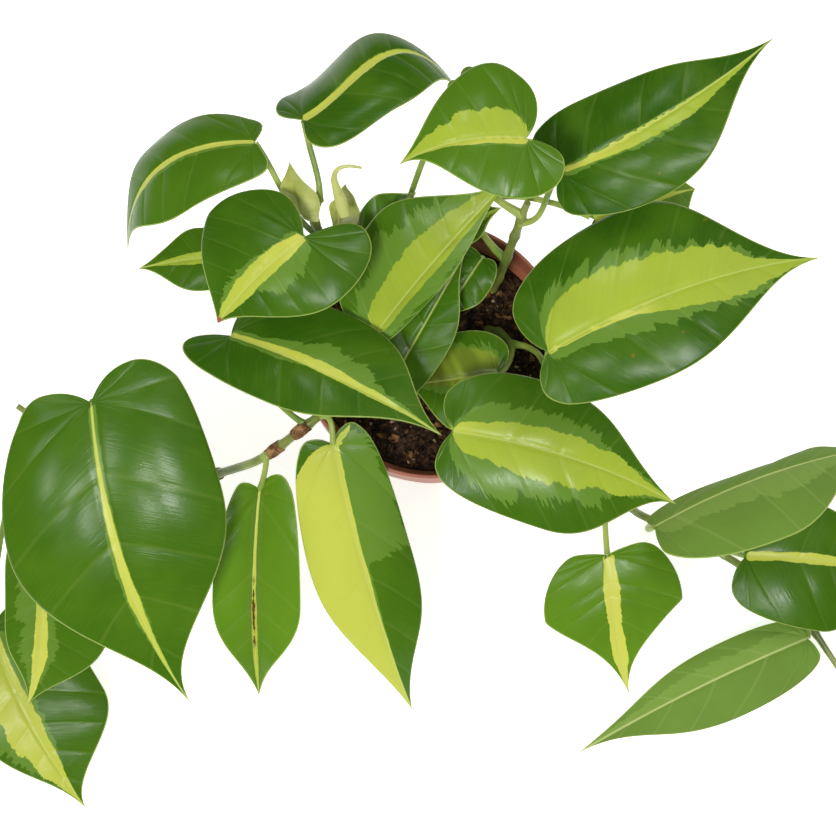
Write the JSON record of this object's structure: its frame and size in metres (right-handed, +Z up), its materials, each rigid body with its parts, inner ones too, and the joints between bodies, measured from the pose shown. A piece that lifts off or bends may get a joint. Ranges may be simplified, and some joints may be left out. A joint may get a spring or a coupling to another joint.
{
  "type": "potted philodendron",
  "caption": "Potted trailing heartleaf philodendron with green and lime variegated heart-shaped leaves spilling over a small round nursery pot.",
  "frame": {"origin": "centre of the pot's flat base, on the table", "axes": "+Z up along the pot's axis; X runs from the left trailing vine to the right trailing vine; +Y points to the back of the plant"},
  "size_m": [0.4468, 0.3247, 0.2249],
  "materials": {
    "pot_plastic": "satin",
    "soil": "matte",
    "stem_green": "satin",
    "leaf_green": "satin",
    "young_pale_green": "satin"
  },
  "bodies": {
    "root": {"pot": "pot_plastic", "soil": "soil", "stem_left_trailing": "stem_green", "stem_right_trailing": "stem_green", "stem_back_left": "stem_green", "stem_back_right": "stem_green", "stem_centre": "stem_green", "stem_middle_left": "stem_green", "leaf_left_top": "leaf_green", "leaf_top": "leaf_green", "leaf_top_small": "leaf_green", "leaf_top_right": "leaf_green", "leaf_right": "leaf_green", "leaf_pale_behind": "leaf_green", "leaf_lower_right": "leaf_green", "leaf_big_left": "leaf_green", "leaf_folded": "leaf_green", "leaf_half_lime": "leaf_green", "leaf_round": "leaf_green", "leaf_centre_left": "leaf_green", "leaf_centre_lime": "leaf_green", "leaf_centre_dark": "leaf_green", "leaf_small_dark": "leaf_green", "leaf_behind_lime": "leaf_green", "leaf_mottled": "leaf_green", "leaf_behind_left": "leaf_green", "leaf_behind_top": "leaf_green", "leaf_trail_left_short": "leaf_green", "leaf_trail_left_long": "leaf_green", "leaf_small_heart": "leaf_green", "leaf_trail_right_pale": "leaf_green", "leaf_trail_right_dark": "leaf_green", "leaf_trail_right_low": "leaf_green", "leaf_back_young": "leaf_green", "sheath_left": "young_pale_green", "sheath_right": "young_pale_green", "leaf_new_rolled": "young_pale_green"}
  },
  "joints": []
}
